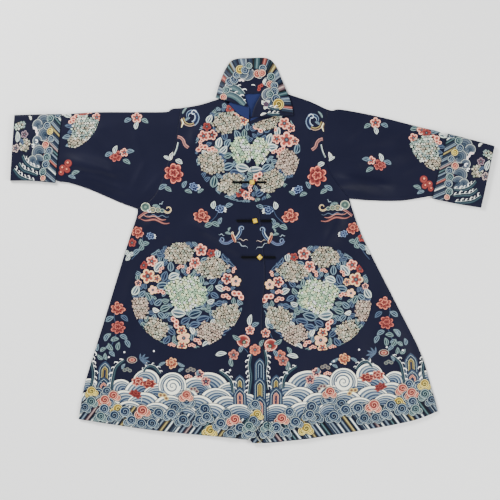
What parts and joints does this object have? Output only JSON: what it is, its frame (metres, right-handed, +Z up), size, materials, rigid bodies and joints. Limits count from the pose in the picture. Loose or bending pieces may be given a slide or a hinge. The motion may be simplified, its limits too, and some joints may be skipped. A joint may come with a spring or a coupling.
{
  "type": "embroidered robe",
  "caption": "Embroidered silk robe reworked as a short coat with an A-line body, set-in sleeves, turned-back cuffs, a deep rounded collar and frog-and-button closures, laid flat.",
  "frame": {"origin": "on the surface it lies on, below the middle of its outline", "axes": "+X towards the wearer's left sleeve, +Y from the hem to the collar, +Z up off the surface, on the side of the front"},
  "size_m": [1.331, 1.0595, 0.0155],
  "materials": {
    "navy_satin": "silk satin with silk embroidery",
    "wave_embroidery": "satin closely covered with silk embroidery",
    "blue_silk": "plain woven silk",
    "silk_cord": "bias silk bars",
    "gilt_metal": "gilt, polished"
  },
  "bodies": {
    "root": {"back": "navy_satin", "front_right": "navy_satin", "front_left": "navy_satin", "sleeve_right": "navy_satin", "sleeve_left": "navy_satin", "cuff_right": "wave_embroidery", "cuff_left": "wave_embroidery", "collar": "wave_embroidery", "neck_lining": "blue_silk", "stand_right": "blue_silk", "stand_left": "blue_silk", "loop_bar_1": "silk_cord", "loop_bar_2": "silk_cord", "loop_bar_3": "silk_cord", "knob_bar_1": "silk_cord", "knob_bar_2": "silk_cord", "knob_bar_3": "silk_cord", "button_1": "gilt_metal", "button_2": "gilt_metal", "button_3": "gilt_metal"}
  },
  "joints": []
}
